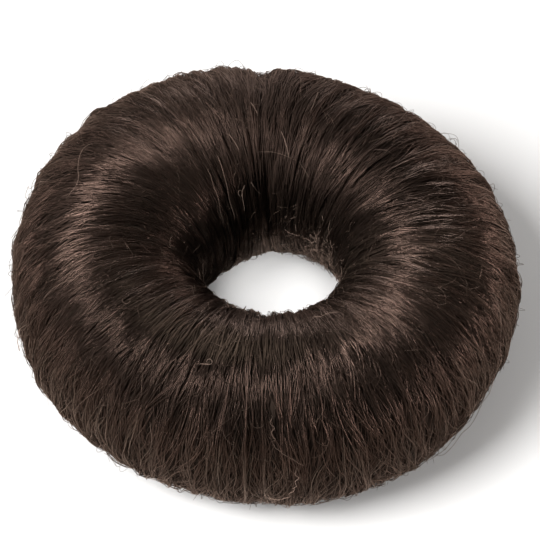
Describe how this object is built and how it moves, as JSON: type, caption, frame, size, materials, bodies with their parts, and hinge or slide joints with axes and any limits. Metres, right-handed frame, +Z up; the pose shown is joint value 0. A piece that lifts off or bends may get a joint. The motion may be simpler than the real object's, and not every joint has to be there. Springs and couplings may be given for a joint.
{
  "type": "top knot bun ring hairpiece",
  "caption": "Soft padded ring wound with dark brown hair locks, with a hole that a ponytail is drawn through to shape a top knot.",
  "frame": {"origin": "the point on the resting plane under the middle of the ring's outline", "axes": "+Z up along the ring's axis, out of the crown; -Y towards the side that the picture shows nearest"},
  "size_m": [0.0894, 0.0894, 0.0356],
  "materials": {
    "hair": "dark brown synthetic hair, smooth, with a soft sheen along the strands",
    "padding": "matt brown fibre padding"
  },
  "bodies": {
    "root": {"hair_cover": "hair", "core_ring": "padding"}
  },
  "joints": []
}
